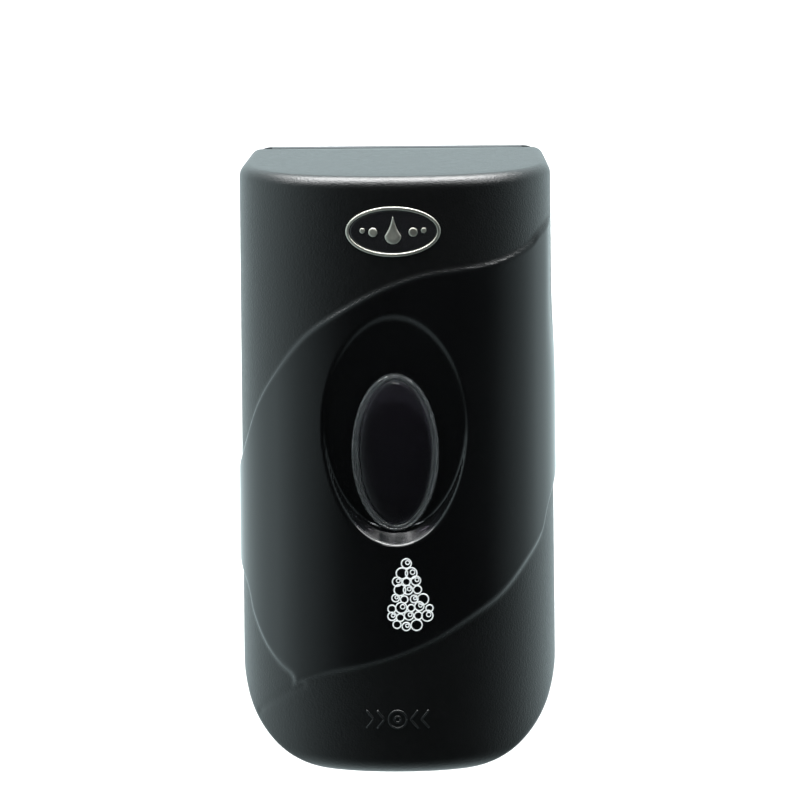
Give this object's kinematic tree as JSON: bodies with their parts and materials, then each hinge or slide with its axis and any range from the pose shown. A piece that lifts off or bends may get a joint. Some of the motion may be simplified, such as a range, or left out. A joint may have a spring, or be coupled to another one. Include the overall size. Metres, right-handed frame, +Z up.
{
  "type": "wall mounted soap dispenser",
  "caption": "Wall mounted push-cover foam soap dispenser: hinged locking cover with oval window, refillable tank, rocker-driven foam pump.",
  "frame": {"origin": "centre of the four wall-screw holes, on the wall plane", "axes": "+X to the user's right when facing the dispenser, +Y into the wall, +Z up"},
  "size_m": [0.131, 0.1154, 0.236],
  "materials": {
    "cover_plastic": "fine pebbled texture with a polished leaf-shaped band",
    "inner_plastic": "plain moulded",
    "frame_plastic": "plain moulded",
    "window_clear": "clear polished acrylic",
    "ring_clear": "clear polished acrylic bezel",
    "badge_silver": "warm silver foil",
    "tank_plastic": "smoke-tinted translucent",
    "pump_white": "natural white moulded",
    "rocker_acetal": "ivory acetal",
    "steel": "bright zinc plated",
    "lock_metal": "plated zinc",
    "rubber_black": "plain",
    "silicone_grey": "plain"
  },
  "bodies": {
    "wall_unit": {"back_plate": "inner_plastic", "tank_cradle": "inner_plastic", "cradle_screws": "steel", "hinge_pins": "steel", "torsion_springs": "steel", "rocker_pin": "steel"},
    "press_frame": {"press_arms": "frame_plastic", "press_crossbar": "frame_plastic", "crossbar_screws": "steel", "press_buffers": "rubber_black"},
    "cover": {"front_cover": "cover_plastic", "window_seal": "rubber_black", "window_ring": "ring_clear", "window_lens": "window_clear", "badge": "badge_silver", "lock_bush": "inner_plastic"},
    "lock": {"lock_barrel": "lock_metal", "lock_tongue": "steel", "lock_nut": "steel"},
    "rocker": {"pump_rocker": "rocker_acetal"},
    "tank": {"soap_tank": "tank_plastic", "neck_gasket": "silicone_grey", "pump_collar": "pump_white", "pump_cylinder": "pump_white", "pump_spring": "steel"},
    "ball": {"valve_ball": "steel"},
    "cap": {"refill_cap": "cover_plastic", "cap_seal": "silicone_grey"},
    "piston": {"nozzle": "pump_white", "piston_stem": "pump_white", "piston_cup": "silicone_grey", "stem_ring": "pump_white", "foam_screens": "pump_white"}
  },
  "joints": [
    {"name": "press_hinge", "type": "hinge", "parent": "wall_unit", "child": "press_frame", "pos_m": [0, -0.014, 0.1105], "axis": [1, 0, 0], "range_deg": [0, 3], "stiffness_Nm_per_rad": 2, "springref_deg": -22.92},
    {"name": "cover_hinge", "type": "hinge", "parent": "press_frame", "child": "cover", "pos_m": [0, -0.014, 0.1105], "axis": [-1, 0, 0], "range_deg": [0, 90]},
    {"name": "lock_turn", "type": "hinge", "parent": "cover", "child": "lock", "pos_m": [0, -0.095, -0.112], "axis": [0, 0, -1], "range_deg": [0, 90]},
    {"name": "rocker_hinge", "type": "hinge", "parent": "wall_unit", "child": "rocker", "pos_m": [0, -0.034, -0.106], "axis": [-1, 0, 0], "range_deg": [0, 17]},
    {"name": "tank_lift", "type": "slide", "parent": "wall_unit", "child": "tank", "axis": [0, 0, 1], "range_m": [0, 0.005]},
    {"name": "pump_stroke", "type": "slide", "parent": "tank", "child": "piston", "axis": [0, 0, 1], "range_m": [0, 0.0068], "stiffness_N_per_m": 150, "springref_m": -0.02, "deforming": ["pump_spring"]},
    {"name": "valve_travel", "type": "slide", "parent": "tank", "child": "ball", "axis": [0, 0, 1], "range_m": [0, 0.0025]},
    {"name": "cap_turn", "type": "hinge", "parent": "tank", "child": "cap", "pos_m": [0, -0.048, 0.095], "axis": [0, 0, 1], "range_deg": [0, 90]}
  ],
  "couplings": [
    {"joint": "rocker_hinge", "follows": "press_hinge", "ratio": 5.4},
    {"joint": "pump_stroke", "follows": "press_hinge", "m_per_rad": 0.1222}
  ]
}
